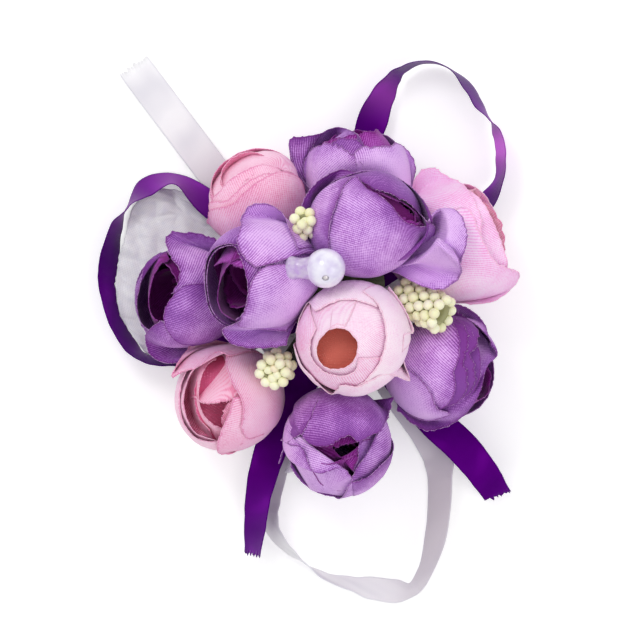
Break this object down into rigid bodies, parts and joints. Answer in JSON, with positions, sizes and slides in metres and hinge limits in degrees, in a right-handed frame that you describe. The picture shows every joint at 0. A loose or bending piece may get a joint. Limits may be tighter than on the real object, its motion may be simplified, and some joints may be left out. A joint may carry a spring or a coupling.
{
  "type": "wrist corsage",
  "caption": "Wrist corsage of wrapped fabric rosebuds, stamen pips and a pearl on a felt pad, with a satin ribbon bow and a ribbon that ties on the wrist.",
  "frame": {"origin": "centre of the felt pad's underside, the face that lies on the wrist", "axes": "+Z from the wrist out through the flowers, +Y towards the top of the spray, opposite the wrist loop"},
  "size_m": [0.1287, 0.1613, 0.0602],
  "materials": {
    "purple_petal": "lavender petal cloth with a fine twill and darker purple cut edges",
    "purple_heart": "deep purple petal cloth inside the bud",
    "pink_petal": "mid pink petal cloth with a fine twill",
    "pale_petal": "pale pink petal cloth, almost white at the belly",
    "pink_heart": "salmon to rose petal cloth inside the bud",
    "stem_tape": "dark olive waxed floral tape, wound on wire",
    "pips": "cream stamen pips with a soft sheen",
    "pearl": "white pearl lacquer with a lilac lustre",
    "wire": "thin bright wire",
    "glue": "clear hot glue, slightly milky",
    "purple_ribbon": "deep purple single-face satin ribbon",
    "white_ribbon": "white satin ribbon",
    "organza": "white crinkled organza, slightly sheer",
    "felt": "white craft felt"
  },
  "bodies": {
    "root": {"centre_pink_bud_outer_petals": "pale_petal", "centre_pink_bud_heart_petals": "pink_heart", "centre_pink_bud_stem": "stem_tape", "upper_centre_bud_outer_petals": "purple_petal", "upper_centre_bud_heart_petals": "purple_heart", "upper_centre_bud_open_petals": "purple_petal", "upper_centre_bud_stem": "stem_tape", "left_centre_bud_outer_petals": "purple_petal", "left_centre_bud_heart_petals": "purple_heart", "left_centre_bud_stem": "stem_tape", "top_bud_outer_petals": "purple_petal", "top_bud_heart_petals": "purple_heart", "top_bud_stem": "stem_tape", "upper_left_pink_bud_outer_petals": "pink_petal", "upper_left_pink_bud_heart_petals": "pink_heart", "upper_left_pink_bud_stem": "stem_tape", "right_pink_bud_outer_petals": "pale_petal", "right_pink_bud_heart_petals": "pink_heart", "right_pink_bud_stem": "stem_tape", "far_left_bud_outer_petals": "purple_petal", "far_left_bud_heart_petals": "purple_heart", "far_left_bud_stem": "stem_tape", "lower_left_pink_bud_outer_petals": "pink_petal", "lower_left_pink_bud_heart_petals": "pink_heart", "lower_left_pink_bud_stem": "stem_tape", "bottom_bud_outer_petals": "purple_petal", "bottom_bud_heart_petals": "purple_heart", "bottom_bud_stem": "stem_tape", "lower_right_bud_outer_petals": "purple_petal", "lower_right_bud_heart_petals": "purple_heart", "lower_right_bud_stem": "stem_tape", "stem_bundle": "stem_tape", "upper_stamens_pips": "pips", "upper_stamens_stem": "stem_tape", "right_stamens_pips": "pips", "right_stamens_stem": "stem_tape", "left_stamens_pips": "pips", "left_stamens_stem": "stem_tape", "pearl": "pearl", "pearl_wire": "wire", "pearl_glue_drop": "glue", "bow_left_loop": "purple_ribbon", "bow_right_loop": "purple_ribbon", "bow_left_tail": "purple_ribbon", "bow_right_tail": "purple_ribbon", "wrist_tie_end": "white_ribbon", "wrist_tie_loop": "white_ribbon", "left_organza": "organza", "lower_organza": "organza", "back_pad": "felt"}
  },
  "joints": []
}
